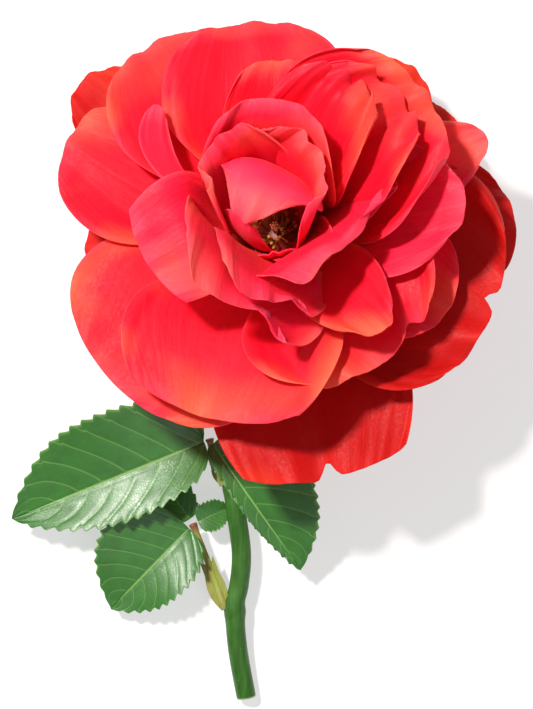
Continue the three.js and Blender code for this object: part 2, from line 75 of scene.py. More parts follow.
# The hip's dome is a quarter ellipse of this radius and height that starts at HIP_LOW on the
# bloom's axis. The hip ends at HIP_END, just short of the stem.
HIP_RADIUS, HIP_HEIGHT, HIP_LOW, HIP_END = 7.5, 8.4, -3.6, -13.5
# Blades that would sink below SURFACE are eased up on it over a depth of SETTLE.
SURFACE, SETTLE = 0.35, 1.1


def turn_z(degrees):
    """Rotation about the upright axis."""
    c, s = np.cos(np.radians(degrees)), np.sin(np.radians(degrees))
    return np.array([[c, -s, 0], [s, c, 0], [0, 0, 1]])


def turn_y(degrees):
    """Rotation about the Y axis, which tips +Z towards +X."""
    c, s = np.cos(np.radians(degrees)), np.sin(np.radians(degrees))
    return np.array([[c, 0, s], [0, 1, 0], [-s, 0, c]])


HEAD = turn_z(HEAD_LEAN) @ turn_y(HEAD_TILT) @ turn_z(-HEAD_LEAN)


def on_head(points, turn=0.0):
    """Points about the bloom's own axis, turned round it, tipped with the bloom and lifted."""
    return points @ turn_z(turn).T @ HEAD.T + np.array([0, 0, HEAD_HEIGHT])


def ease(x):
    """Smooth step: 0 below 0, 1 above 1, and 3x2 - 2x3 between."""
    x = np.clip(x, 0, 1)
    return x * x * (3 - 2 * x)


def seat_radius(height):
    """Radius of the hip's dome at a height on the axis: a quarter ellipse."""
    rise = np.clip((np.asarray(height) - HIP_LOW) / HIP_HEIGHT, 0, 1)
    return HIP_RADIUS * np.sqrt(1 - rise * rise)


print("hip radius half-way up its dome, mm:", seat_radius(HIP_LOW + HIP_HEIGHT / 2).round(2))

# %% [markdown]
# The hip is the green urn below the petals. A turned profile is carried round the axis: a grid of
# angle and profile place. Its underside narrows to the stem, its shoulder bulges, and its top is
# the dome that the petals stand round. It is made first because it also ties the two frames.

# %% Mesh helpers and the hip
pieces = {}


def smooth_object(name, points, faces):
    """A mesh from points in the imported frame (metres) and faces, shaded smooth."""
    mesh = bpy.data.meshes.new(name)
    mesh.from_pydata(points.tolist(), [], faces.tolist() if hasattr(faces, "tolist") else faces)
    mesh.polygons.foreach_set("use_smooth", np.ones(len(mesh.polygons), bool))
    obj = bpy.data.objects.new(name, mesh)
    bpy.context.scene.collection.objects.link(obj)
    pieces[name] = obj
    return obj


def store(obj, **values):
    """Named numbers, one for each point, that the materials read."""
    for key, numbers in values.items():
        layer = obj.data.attributes.new(key, "FLOAT", "POINT")
        layer.data.foreach_set("value", np.ascontiguousarray(numbers, np.float32).ravel())
    return obj


def ring_faces(rings, sides):
    """Quads between closed rings of points, and a fan of triangles to the end point before them
    and to the end point after them."""
    at = 1 + np.arange(rings * sides).reshape(rings, sides)
    low, high = at[:-1], at[1:]
    quads = np.stack([low, np.roll(low, -1, 1), np.roll(high, -1, 1), high], -1).reshape(-1, 4)
    first = [[0, b, a] for a, b in zip(at[0], np.roll(at[0], -1))]
    last = [[rings * sides + 1, a, b] for a, b in zip(at[-1], np.roll(at[-1], -1))]
    return first + last + quads.tolist()


def turned(profile, sides):
    """Points of a profile (radius, height) carried round the bloom's axis, ends on the axis."""
    angle = np.linspace(0, 2 * np.pi, sides, endpoint=False)
    radius, height = profile[1:-1, 0][:, None], profile[1:-1, 1][:, None]
    rings = np.stack([radius * np.cos(angle), radius * np.sin(angle), height + 0 * angle], -1)
    ends = np.array([[0, 0, profile[0, 1]], [0, 0, profile[-1, 1]]])
    return np.concatenate([ends[:1], rings.reshape(-1, 3), ends[1:]])


def smooth_profile(knots, steps):
    """A smooth line through knots: between two of them it is a cubic blend of those two and the
    knot on either side, so the line goes through every knot without a corner."""
    knots = np.asarray(knots, float)
    place = np.linspace(0, len(knots) - 1, steps)
    i = np.clip(place.astype(int), 0, len(knots) - 2)
    t = (place - i)[:, None]
    before, after = knots[np.maximum(i - 1, 0)], knots[np.minimum(i + 2, len(knots) - 1)]
    a, b = knots[i], knots[i + 1]
    return 0.5 * (2 * a + (b - before) * t + (2 * before - 5 * a + 4 * b - after) * t**2
                  + (3 * a - before - 3 * b + after) * t**3)


# The dome that shows stops at a share of its height and stands in from the petals' seats.
DOME_SHARE, DOME_INSET, HIP_SIDES = 0.94, 0.55, 48
hip_top = HIP_LOW + HIP_HEIGHT * DOME_SHARE
dome = [(float(seat_radius(h)) - DOME_INSET, h) for h in np.linspace(HIP_LOW, hip_top, 6)]
urn = [(1.7, HIP_END), (3.9, HIP_END + 2.2), (5.2, HIP_END + 5), (4.6, HIP_END + 8)]
hip_profile = np.concatenate([[(0, HIP_END)], smooth_profile(urn + dome, 40), [(0, hip_top)]])
hip_points = on_head(turned(hip_profile, HIP_SIDES))
hip_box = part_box("hip")
SHIFT = ((np.array(hip_box[0]) + np.array(hip_box[1])) / 2 / MM
         - (hip_points.min(0) + hip_points.max(0)) / 2)
print("step from the growing frame to the packed one, mm:", SHIFT.round(2))


def packed(points):
    """Growing-frame millimetres to packed-frame metres."""
    return (points + SHIFT) * MM


hip = smooth_object("hip_urn", packed(hip_points), ring_faces(len(hip_profile) - 2, HIP_SIDES))
hip_height = (hip_points[:, 2] - hip_points[:, 2].min()) / np.ptp(hip_points[:, 2])
store(hip, along=hip_height)

# %% [markdown]
# A petal is one surface of two numbers: u runs across from -1 to 1, and v runs from root to tip.
# Its midrib starts on the hip and bends outwards: its pitch from the upright is a Bezier blend of
# four angles, and a lip adds a late curl. Its section cups inwards, its edges can roll outwards,
# and a twist turns the whole section about the midrib, which makes the petals lie over each other
# like a pinwheel. A sculpted grid could give the same shapes, but this way a petal is put right by
# changing a few numbers: first the rib, then the hollow.

# %% The blade surface
# Lengths are in mm and angles in degrees. Places such as lip_from and widest are shares of the
# length, roll_from is a share of the half-width, and a notch is its place u, depth and width.
PETAL = dict(height=0.0, root=3.2, length=45.0, width=40.0, pitch=(50, 75, 90, 100), yaw=0.0,
             twist=0.0, cup=(40, 20), fold=0.0, lip=0.0, lip_from=0.8, lip_to=1.0, roll=(0, 0),
             roll_from=0.7, notch=(0, 0, 0.12), widest=0.6, narrow=1.4, square=0.5, wave=0.5,
             waves=3.0)


def bezier(four, t):
    """Cubic Bezier blend of four numbers."""
    a, b, c, d = four
    return a * (1 - t)**3 + 3 * b * t * (1 - t)**2 + 3 * c * t * t * (1 - t) + d * t**3


def midrib(b, radius, steps=120):
    """Stations along the rib: place, the direction across and the direction out of the blade.
    The rib is the running sum of its tangent, whose pitch is the blend plus the lip's late curl."""
    t = np.linspace(0, 1, steps + 1)
    late = ease((t - b["lip_from"]) / (b["lip_to"] - b["lip_from"]))
    pitch = np.radians(bezier(b["pitch"], t) + b["lip"] * late)
    yaw, twist = np.radians(b["yaw"] * t)[:, None], np.radians(b["twist"] * ease(1.3 * t))[:, None]
    flat = 0 * pitch
    tangent = np.stack([np.sin(pitch), flat, np.cos(pitch)], -1)
    normal = np.stack([-np.cos(pitch), flat, np.sin(pitch)], -1)
    side = np.stack([flat, flat + 1, flat], -1)
    ahead = np.cos(yaw) * tangent + np.sin(yaw) * side
    side = np.cos(yaw) * side - np.sin(yaw) * tangent
    across = np.cos(twist) * side + np.sin(twist) * normal
    out = np.cos(twist) * normal - np.sin(twist) * side
    steps_along = (ahead[1:] + ahead[:-1]) / 2 * b["length"] / steps
    place = np.concatenate([[[0, 0, 0]], np.cumsum(steps_along, 0)]) + [radius, 0, b["height"]]
    return t, place, across, out


def petal_outline(b, u, v):
    """Half-width s and share t of the rib: a sine from the narrow root to the widest place, then
    part of an ellipse, squarer or rounder, less a bite where the tip is notched."""
    half, share = b["width"] / 2, b["root"] / b["width"]
    low = np.minimum(v / b["widest"], 1)
    high = np.maximum((v - b["widest"]) / (1 - b["widest"]), 0)
    grow = share + (1 - share) * np.sin(np.pi / 2 * low)**b["narrow"]
    side = u * half * grow * np.sqrt(1 - b["square"] * high**2)
    round_tip = b["widest"] + (1 - b["widest"]) * high * np.sqrt(1 - b["square"] * u * u)
    where, deep, wide = b["notch"]
    bite = deep / b["length"] * np.exp(-((u - where) / wide)**2) * ease(high)
    return side, np.where(v <= b["widest"], v, round_tip) - bite


def looked_up(where, stations, table):
    """Rows of a table of directions or places, read between its stations."""
    return np.stack([np.interp(where, stations, table[:, k]) for k in range(3)], -1)


def blade_surface(b, radius, u, v, outline=petal_outline, slices=16):
    """The blade's points and its out direction. Each point is the rib's station plus the section:
    the section's slope at share q of the half-width is cup times q, plus the fold, less the rolls,
    and the section is the sum of short steps along that slope."""
    side, t = outline(b, u, v)
    stations, *tables = midrib(b, radius)
    place, across, out = (looked_up(t, stations, table) for table in tables)
    half = b["width"] / 2
    cup = np.radians(b["cup"][0] + (b["cup"][1] - b["cup"][0]) * t)
    near = ease(1.6 * t)

    def slope(q):
        """The section's slope in radians at share q of the half-width."""
        edge = (np.abs(q) - b["roll_from"]) / (1 - b["roll_from"])
        rolls = np.where(q > 0, np.radians(b["roll"][0]), -np.radians(b["roll"][1])) * ease(edge)
        return cup * q + np.radians(b["fold"]) * np.sign(q) * ease(np.abs(q) / 0.2) - rolls * near

    angles = [slope(side / half * (k + 0.5) / slices) for k in range(slices)]
    reach = side * np.mean(np.cos(angles), 0)
    rise = side * np.mean(np.sin(angles), 0)
    last = slope(side / half)[..., None]
    points = place + across * reach[..., None] + out * rise[..., None]
    outward = out * np.cos(last) - across * np.sin(last)
    return points, outward, t


def settle(points):
    """Blades that meet the table are eased up on it: z becomes a soft maximum of z and the table."""
    z = points[..., 2]
    lifted = SURFACE + SETTLE * np.logaddexp(0, (z - SURFACE) / SETTLE)
    return np.concatenate([points[..., :2], lifted[..., None]], -1)


print("a plain petal's rib ends at, mm:", midrib(PETAL, HIP_RADIUS)[1][-1].round(1))

# %% [markdown]
# A real petal has two faces and a rim that thins to nothing. The surface is offset to both sides
# by half its wall, and the wall shrinks to zero at the border, where the two faces share their
# points. The mesh is closed, so it has an inside for light to scatter in.

# %% Closed sheets
def surface_normals(points):
    """Unit normals from the steps along the grid's two directions."""
    normal = np.cross(np.gradient(points, axis=0), np.gradient(points, axis=1))
    return normal / np.maximum(np.linalg.norm(normal, axis=-1, keepdims=True), 1e-9)


def closed_sheet(name, points, wall, **values):
    """Two faces around a grid of middle points. The wall is full in the middle and zero at the
    border: half-wall times the square root of one minus the eighth power of the border place."""
    rows, columns = points.shape[:2]
    across = np.abs(np.linspace(-1, 1, columns))[None, :] * np.ones((rows, 1))
    along = np.abs(np.linspace(-1, 1, rows))[:, None] * np.ones((1, columns))
    border = np.maximum(across, along)
    half = wall / 2 * np.sqrt(np.clip(1 - border**8, 0, 1))[..., None]
    offset = surface_normals(points) * half
    count = rows * columns
    upper = np.arange(count).reshape(rows, columns)
    inner = np.full((rows, columns), -1)
    inner[1:-1, 1:-1] = count + np.arange((rows - 2) * (columns - 2)).reshape(rows - 2, columns - 2)
    lower = np.where(inner < 0, upper, inner)
    both = np.concatenate([(points + offset).reshape(-1, 3),
                           (points - offset)[1:-1, 1:-1].reshape(-1, 3)])
    top = np.stack([upper[:-1, :-1], upper[1:, :-1], upper[1:, 1:], upper[:-1, 1:]], -1)
    under = np.stack([lower[:-1, :-1], lower[:-1, 1:], lower[1:, 1:], lower[1:, :-1]], -1)
    faces = np.concatenate([top.reshape(-1, 4), under.reshape(-1, 4)])
    obj = smooth_object(name, packed(both), faces)
    face = np.concatenate([np.ones(count), np.zeros(both.shape[0] - count)])
    twice = {key: np.concatenate([value.ravel(), value[1:-1, 1:-1].ravel()])
             for key, value in values.items()}
    return store(obj, face=face, **twice)


def grid(columns, rows):
    """u from -1 to 1 and v from 0 to 1, both closer together near the border."""
    u = np.sin(np.pi / 2 * np.linspace(-1, 1, columns))
    v = 0.5 - 0.5 * np.cos(np.pi * np.linspace(0, 1, rows)**0.85)
    return u[None, :] * np.ones((rows, 1)), v[:, None] * np.ones((1, columns))


print("rows of a five-row grid stand at", grid(5, 5)[1][:, 0].round(2))

# %% [markdown]
# Petals are velvet on the inner face and paler, pinker outside. The rim is painted lighter, standing
# in for light that shines through its thin edge, and it has a painted orange highlight in patches.
# The root is darker and warmer, and fine veins run from root to tip. Each of these is a mask: the
# face and the place along and across the petal are numbers stored on its points, so the pattern
# follows the petal however it bends. Light passes through a petal, so subsurface scattering is set,
# and a little sheen stands for the velvet's nap. One build gives three finishes: plain red, a lighter
# copy with painted sunlight for the petals in the sun, and a deep copy with painted shade for the
# outer petals that lie in the shade of the rest, which are also a deeper red of their own.

# %% Petal finishes
def new_material(name):
    """An empty material with one Principled shader, and the helpers that add nodes to it."""
    material = bpy.data.materials.new(name)
    material.use_nodes = True
    tree = material.node_tree
    shader = tree.nodes["Principled BSDF"]

    def node(kind, inputs=(), **settings):
        """A new node, with each input linked if it is given a socket and set if it isn't."""
        made = tree.nodes.new(kind)
        for key, value in settings.items():
            setattr(made, key, value)
        for key, value in dict(inputs).items():
            if isinstance(value, bpy.types.NodeSocket):
                tree.links.new(value, made.inputs[key])
            else:
                made.inputs[key].default_value = value
        return made

    def plug(socket, value):
        """Link or set one input of the shader."""
        if isinstance(value, bpy.types.NodeSocket):
            tree.links.new(value, shader.inputs[socket])
        else:
            shader.inputs[socket].default_value = value

    return material, node, plug


def stored(node, name):
    """The number that store() put on the points."""
    return node("ShaderNodeAttribute", attribute_name=name).outputs["Fac"]


def ramp(node, value, *stops):
    """Grey or coloured values at places from 0 to 1."""
    made = node("ShaderNodeValToRGB", {"Fac": value})
    while len(made.color_ramp.elements) < len(stops):
        made.color_ramp.elements.new(0.5)
    for element, (place, colour) in zip(made.color_ramp.elements, stops):
        element.position = place
        element.color = (*colour, 1) if isinstance(colour, tuple) else (colour, colour, colour, 1)
    return made.outputs["Color"]


def mixed(node, share, one, two):
    """Colour one turned into colour two by a share from 0 to 1. On the Mix node the share is input
    0, the colours are inputs 6 and 7, and the mixed colour is output 2."""
    made = node("ShaderNodeMix", {0: share}, data_type="RGBA")
    for key, colour in ((6, one), (7, two)):
        if isinstance(colour, bpy.types.NodeSocket):
            made.id_data.links.new(colour, made.inputs[key])
        else:
            made.inputs[key].default_value = (*colour, 1)
    return made.outputs[2]


def sums(node, kind, one, two):
    """One arithmetic step between numbers."""
    return node("ShaderNodeMath", {0: one, 1: two}, operation=kind).outputs[0]


def noise(node, vector, scale, detail, **more):
    """Cloudy noise from 0 to 1. On a piece's own places, a scale of 1000 makes 1 mm clouds."""
    settings = {"Vector": vector, "Scale": scale, "Detail": detail, **more}
    return node("ShaderNodeTexNoise", settings).outputs["Fac"]


def own_place(node):
    """The place of a point in its piece's own frame, in metres."""
    return node("ShaderNodeTexCoord").outputs["Object"]


def bumped(node, height, strength, distance):
    """The shading normal, tilted as if the height were relief."""
    settings = {"Height": height, "Strength": strength, "Distance": distance}
    return node("ShaderNodeBump", settings).outputs[0]


def petal_material(name, inner, outer, root, rim, painted_glint):
    """Velvet petal: inner and outer face colours, a warm root, long fine veins, a rim painted lighter
    as light shining through its thin edge, and a painted orange highlight in patches near the rim."""
    material, node, plug = new_material(name)
    along, across, face = stored(node, "along"), stored(node, "across"), stored(node, "face")
    edge, tint = stored(node, "rim"), stored(node, "tint")
    # Noise that changes fast across the petal and slowly along it makes long veins.
    long_way = node("ShaderNodeCombineXYZ", {0: sums(node, "MULTIPLY", across, 26.0),
                                             1: sums(node, "MULTIPLY", along, 1.6), 2: tint})
    veins = noise(node, long_way.outputs[0], 1.0, 4.0, Roughness=0.6)
    where = own_place(node)
    cloud = noise(node, where, 70.0, 3.0)
    grain = noise(node, where, 1500.0, 2.0)
    patch = noise(node, where, 45.0, 1.0)
    crumple = noise(node, where, 260.0, 3.0)
    colour = mixed(node, face, outer, inner)
    colour = mixed(node, ramp(node, cloud, (0.35, 0.0), (0.7, 0.55)), colour,
                   tuple(0.8 * c for c in inner))
    colour = mixed(node, ramp(node, veins, (0.45, 0.0), (0.8, 0.16)), colour, rim)
    colour = mixed(node, ramp(node, along, (0.0, 0.85), (0.3, 0.0)), colour, root)
    # Painted highlight: the rim is lightened, standing in for light that shines through the thin edge.
    colour = mixed(node, ramp(node, edge, (0.9, 0.0), (1.0, 0.5)), colour, rim)
    # Painted highlight: an orange glint in noise patches near the rim.
    painted_glint_share = sums(node, "MULTIPLY", ramp(node, patch, (0.48, 0.0), (0.66, 1.0)),
                ramp(node, edge, (0.72, 0.0), (1.0, 0.6)))
    colour = mixed(node, painted_glint_share, colour, painted_glint)
    plug("Base Color", colour)
    plug("Roughness", ramp(node, grain, (0.3, 0.45), (0.7, 0.65)))
    relief = sums(node, "ADD", sums(node, "MULTIPLY", veins, 0.7), sums(node, "MULTIPLY", grain, 0.25))
    relief = sums(node, "ADD", relief, crumple)
    plug("Normal", bumped(node, relief, 0.36, 0.0005))
    plug("Specular IOR Level", 0.15)
    plug("Sheen Weight", 0.05)
    plug("Sheen Roughness", 0.4)
    plug("Sheen Tint", (1.0, 0.35, 0.12, 1))
    plug("Subsurface Weight", 0.35)
    plug("Subsurface Radius", (1.0, 0.05, 0.06))
    plug("Subsurface Scale", 0.0014)
    return material


# Colours: inner face, outer face, root, rim and veins (at the rim a painted highlight of light through
# the thin edge), and the painted orange glint.
petal_red = petal_material("petal_red", (0.80, 0.003, 0.020), (0.88, 0.022, 0.060),
                           (0.48, 0.002, 0.004), (0.92, 0.045, 0.085), (0.95, 0.15, 0.05))
# petal_sunlit paints sunlight: a lighter, pinker copy of petal_red for the petals that stand in the sun.
petal_sunlit = petal_material("petal_sunlit", (0.84, 0.008, 0.042), (0.90, 0.028, 0.090),
                              (0.50, 0.002, 0.006), (0.95, 0.075, 0.13), (0.95, 0.20, 0.09))
# petal_shaded paints shade: a deep copy for the outer petals in the shade of the rest, which are also a
# deeper red of their own.
petal_shaded = petal_material("petal_shaded", (0.42, 0.002, 0.0025), (0.50, 0.008, 0.010),
                              (0.26, 0.002, 0.002), (0.58, 0.015, 0.012), (0.70, 0.05, 0.02))
print("petal finishes made")

# %% [markdown]
# The table below is the bloom's plan. Each line gives the direction on the bloom, the height of
# the root, length and width, four pitches of the rib and the cup at root and tip. Extra words bend
# the lip, roll an edge, twist or notch the petal. The outer petals bend down past level, the
# middle ones lie open, the inner ones stand with rolled lips, and the heart is folded tight. The
# petals could be copies round a circle, but no two on a real bloom are alike, so each has its line.

# %% The petals
# Close to the golden angle in radians, whose steps never line up.
GOLDEN = 2.399
PETAL_WALL = 0.34
petals = []


def petal(name, turn, height, length, width, pitch, cup, finish=petal_red, **more):
    """One petal: the blade surface, with a ruffle that is the sum of a slow and a quicker sine
    near the rim, a shallow crease over the whole blade, and a fine wave at the rim. A golden-angle
    step from petal to petal keeps the ruffles unlike each other."""
    b = {**PETAL, "height": height, "length": length, "width": width, "pitch": pitch, "cup": cup,
         **more}
    u, v = grid(57, 61)
    points, out, t = blade_surface(b, seat_radius(height), u, v)
    phase = GOLDEN * len(petals)
    border = np.maximum(np.abs(u)**3, v**6) * ease(1.5 * v)
    swing = (np.sin(np.pi * (b["waves"] * u + phase))
             + 0.6 * np.sin(np.pi * (1.5 * b["waves"] * u + 2 * v + 2.3 * phase)))
    crease = 0.35 * ease(1.4 * v) * np.sin(2.1 * np.pi * u + 4 * v + 5 * phase)
    fine = 0.18 * border * np.sin(np.pi * (5.1 * b["waves"] * u + 4 * v + phase))
    points = points + out * (b["wave"] * (border * swing + crease + fine))[..., None]
    obj = closed_sheet(f"petal_{name}_velvet", settle(on_head(points, turn)), PETAL_WALL,
                       along=t, across=u * (0.3 + 0.7 * t), rim=np.maximum(np.abs(u), v),
                       tint=0 * u + 3.7 * len(petals))
    obj.data.materials.append(finish)
    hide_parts(f"petal_{name}")
    petals.append(obj)


# The petals given petal_sunlit carry painted sunlight, and those given petal_shaded carry painted shade.
petal("centre_hood", 62, 3.6, 47.5, 28, (12, 28, -8, -140), (40, 36),
      finish=petal_sunlit, square=0.75, narrow=2)
petal("centre_left", 230, 3.6, 29, 15, (20, 24, 10, -26), (40, 30),
      finish=petal_sunlit, wave=0.25, narrow=2)
petal("centre_low", -80, 3.6, 24, 12, (30, 32, 20, 0), (40, 30), finish=petal_sunlit, wave=0.2, narrow=2)
petal("centre_right", -48, 3.2, 31, 16, (14, 28, 32, 36), (40, 30),
      finish=petal_sunlit, lip=50, lip_from=0.8, wave=0.3, narrow=2)
petal("heart_crinkled_left", 134, 2.8, 37, 30, (6, 12, 15, 17), (75, 66),
      finish=petal_sunlit, lip=40, lip_from=0.86, wave=1.0, waves=3.4, narrow=2)
petal("heart_crinkled_right", 32, 2.8, 37, 34, (6, 12, 15, 17), (75, 66),
      finish=petal_sunlit, lip=40, lip_from=0.86, wave=1.0, waves=3.4, narrow=2)
petal("heart_arch", 80, 2.2, 39, 38, (8, 18, 22, 26), (80, 66),
      finish=petal_sunlit, lip=40, lip_from=0.82, narrow=2)
petal("heart_left_inner", -87, 2.6, 41, 30, (12, 30, 36, 38), (30, 0),
      finish=petal_sunlit, lip=56, lip_from=0.87, lip_to=0.97, square=0.4, twist=-43, narrow=2.4)
petal("heart_left", -103, 2.0, 43, 42, (12, 30, 35, 39), (26, -6),
      finish=petal_sunlit, lip=56, lip_from=0.87, lip_to=0.97, square=0.45, twist=-42, narrow=2)
petal("heart_ribbon", -35, 2.4, 41, 41, (11, 26, 32, 35), (34, 4),
      finish=petal_sunlit, lip=92, lip_from=0.85, lip_to=0.96, notch=(-0.35, 3, 0.5),
      square=0.36, twist=-19, narrow=2)
petal("inner_left_ribbon", 217, 1.8, 50.5, 7.5, (8, 18, 50, 90), (40, -10),
      finish=petal_sunlit, square=0.5, wave=0.15, widest=0.76, narrow=1.2, yaw=-142)
petal("inner_left_panel", -150, 1.2, 44, 29, (10, 22, 28, 30), (46, 4),
      finish=petal_sunlit, lip=72, lip_from=0.62, lip_to=0.82, square=0.3, twist=-8, narrow=1.6)
petal("inner_low_right", -54, 1.0, 44, 21, (26, 44, 62, 80), (46, 22), square=0.6, narrow=1.5, yaw=10)
petal("inner_top", 85, 1.8, 39.5, 26, (16, 38, 54, 70), (44, 36), lip=30, narrow=1.8)
petal("inner_cup", 52, 2, 45, 29, (12, 30, 44, 56), (62, 50),
      lip=70, lip_from=0.8, wave=1.4, waves=4.2, narrow=1.6)
petal("inner_rolled", 36, 1.4, 46, 38, (18, 39, 50, 60), (56, 42),
      lip=55, lip_from=0.75, roll=(0, 50), wave=1.3, waves=3.6, narrow=1.6)
petal("inner_upper_right", 33, 0.6, 46.5, 50, (26, 50, 62, 68), (56, 40),
      lip=30, lip_from=0.86, wave=1.2, waves=3.8)
petal("middle_right", -1, 0.4, 46.5, 33, (27, 53, 67, 75), (44, 24),
      finish=petal_sunlit, roll=(70, 0), roll_from=0.6, square=0.6, twist=12)
petal("middle_right_lobe", -27, -1.4, 40.5, 33, (44, 72, 84, 88), (34, 18), twist=-4)
petal("middle_lower_right", -53, -0.3, 41.5, 50, (34, 61, 76, 86), (42, 22),
      notch=(0.5, 2.5, 0.1), twist=2, wave=1.0)
petal("middle_lower_left", -105, -1, 45.5, 52, (38, 66, 82, 92), (40, 20), square=0.42, twist=6)
petal("middle_right_tip", 21, -1.8, 47.5, 22, (50, 74, 80, 80), (30, 10), finish=petal_sunlit, square=0.6)
petal("middle_top", 99, -0.4, 46, 44, (46, 72, 88, 102), (38, 20), roll=(60, 0), twist=6)
petal("middle_upper_left", 123, -1.2, 50, 40, (52, 76, 92, 104), (34, 16), roll=(40, 0), twist=6)
petal("outer_lower_right", -22, -2.2, 47, 56, (58, 83, 90, 94), (30, 12),
      finish=petal_shaded, notch=(0.12, 3, 0.08), twist=2, wave=1.2, waves=3.3)
petal("outer_left", 153, -2.4, 48, 41, (58, 82, 90, 94), (28, 14), notch=(-0.7, 3, 0.08), twist=4)
petal("outer_lower_left", -134, -2.4, 45, 57, (55, 82, 88, 96), (30, 12), roll=(0, 40), twist=4)
petal("outer_upper_right", 53, -2.2, 45, 28, (56, 84, 95, 102), (25, 8), finish=petal_shaded)
petal("outer_right", 3, -3.6, 47.5, 38, (72, 95, 98, 98), (22, 8), finish=petal_shaded, twist=-4)
petal("outer_bottom", -78, -3.6, 51.5, 46, (66, 89, 94, 96), (24, 8),
      finish=petal_shaded, notch=(0.02, 4, 0.09), square=0.34, wave=1.1, waves=2.6)
petal("outer_top", 77, -3.0, 44, 38, (66, 92, 104, 112), (22, 6), finish=petal_shaded)
petal("outer_upper_right_low", 38, -3.6, 44.5, 32, (76, 99, 104, 106), (20, 6),
      finish=petal_shaded, roll=(30, 0))
petal("outer_left_low", 180, -3.4, 39, 32, (75, 98, 102, 104), (25, 5), finish=petal_shaded)
petal("outer_upper_left_low", 139, -3.5, 57, 26, (72, 94, 99, 102), (25, 5), finish=petal_shaded)
print("petals", len(petals), "faces", sum(len(o.data.polygons) for o in petals))

# %% [markdown]
# In the dark middle of the bloom stand the stamens: a ring of thin filaments, each with a
# powdery anther, round a tuft of pistils. They are almost hidden, so each one has few faces: a
# slender tube with a bead on its end. All of them are worked out as one array, which is quicker
# than an object for each.

# %% Stamens and pistils
def bead_tubes(name, roots, directions, lengths, radii, bead, sides=8):
    """Many small tubes at once. Each is a profile of radius against length, carried round its own
    direction: a thin filament, then a bead whose radius is a half sine."""
    swell = np.sin(np.linspace(0.15, np.pi - 0.15, 6))
    share = np.concatenate([[0, 0.35, 0.75], np.linspace(0.86, 1.06, 6)])
    girth = np.concatenate([np.ones((len(lengths), 3)) * radii[:, None], bead[:, None] * swell], 1)
    side = np.cross(directions, [0.3, 0.9, 0.1])
    side /= np.linalg.norm(side, axis=1, keepdims=True)
    other = np.cross(directions, side)
    angle = np.linspace(0, 2 * np.pi, sides, endpoint=False)
    circle = side[:, None] * np.cos(angle)[None, :, None] + other[:, None] * np.sin(angle)[None, :, None]
    centre = roots[:, None] + directions[:, None] * (lengths[:, None] * share)[..., None]
    rings = centre[:, :, None] + girth[..., None, None] * circle[:, None]
    ends = centre[:, [0, -1]]
    points = np.concatenate([ends[:, :1], rings.reshape(len(lengths), -1, 3), ends[:, 1:]], 1)
    one = ring_faces(len(share), sides)
    faces = [[i + k * points.shape[1] for i in face] for k in range(len(lengths)) for face in one]
    obj = smooth_object(name, packed(on_head(points.reshape(-1, 3))), faces)
    place = np.concatenate([[0], np.repeat(share, sides), [1.06]])
    return store(obj, along=np.tile(place, len(lengths)))


rng = np.random.default_rng(5)
STAMENS = 46
angles = np.linspace(0, 2 * np.pi, STAMENS, endpoint=False) + rng.uniform(-0.06, 0.06, STAMENS)
spread = np.radians(rng.uniform(8, 34, STAMENS))
spin = np.stack([np.cos(angles), np.sin(angles), 0 * angles], 1)
stamen_up = spin * np.sin(spread)[:, None] + [0, 0, 1] * np.cos(spread)[:, None]
stamens = bead_tubes("stamen_tuft", spin * rng.uniform(1.5, 2.4, (STAMENS, 1)) + [0, 0, hip_top + 0.2],
                     stamen_up, rng.uniform(5.5, 8.6, STAMENS), np.full(STAMENS, 0.14),
                     rng.uniform(0.38, 0.55, STAMENS))
PISTILS = 12
angles = GOLDEN * np.arange(PISTILS)
spin = np.stack([np.cos(angles), np.sin(angles), 0 * angles], 1) * np.sqrt(np.arange(PISTILS))[:, None]
pistils = bead_tubes("pistil_tuft", spin * 0.2 + [0, 0, hip_top + 0.2],
                     spin * 0.03 + np.array([0, 0, 1.0]), 4.0 + 0.3 * np.cos(angles * 3),
                     np.full(PISTILS, 0.12), np.full(PISTILS, 0.28))
print("stamens", STAMENS, "pistils", PISTILS)

# %% [markdown]
# The stem is a tube along a smooth route. It starts just under the hip, the neck turns it down to
# the table, and it swells a little at each node, where a leaf grew. A section is a circle with
# shallow ridges. The direction across is taken square to the route and to one fixed direction, so
# the tube doesn't wring. The cut end is a flat face with a paler pith.

# %% Routes and tubes
def route_points(knots, count):
    """A smooth line through the knots, at equal steps of its own length."""
    knots = np.asarray(knots, float)
    fine = smooth_profile(knots, 40 * len(knots))
    run = np.concatenate([[0], np.cumsum(np.linalg.norm(np.diff(fine, axis=0), axis=1))])
    even = np.linspace(0, run[-1], count)
    return np.stack([np.interp(even, run, fine[:, k]) for k in range(3)], 1), even / run[-1]


def tube(name, centre, radius, fixed, sides=24, ridges=0.0):
    """Circles of the given radius square to the route. The circle's first direction is square to
    the tangent and to the fixed direction, and its second to both."""
    tangent = np.gradient(centre, axis=0)
    tangent /= np.linalg.norm(tangent, axis=1, keepdims=True)
    first = np.cross(tangent, fixed)
    first /= np.linalg.norm(first, axis=1, keepdims=True)
    second = np.cross(tangent, first)
    angle = np.linspace(0, 2 * np.pi, sides, endpoint=False)
    swell = 1 + ridges * np.cos(5 * angle + 0.7)[None, :]
    circle = (first[:, None] * np.cos(angle)[None, :, None]
              + second[:, None] * np.sin(angle)[None, :, None])
    rings = centre[:, None] + circle * (np.asarray(radius)[:, None] * swell)[..., None]
    points = np.concatenate([centre[:1], rings.reshape(-1, 3), centre[-1:]])
    obj = smooth_object(name, packed(points), ring_faces(len(centre), sides))
    place = np.concatenate([[0], np.repeat(np.linspace(0, 1, len(centre)), sides), [1]])
    return store(obj, along=place)


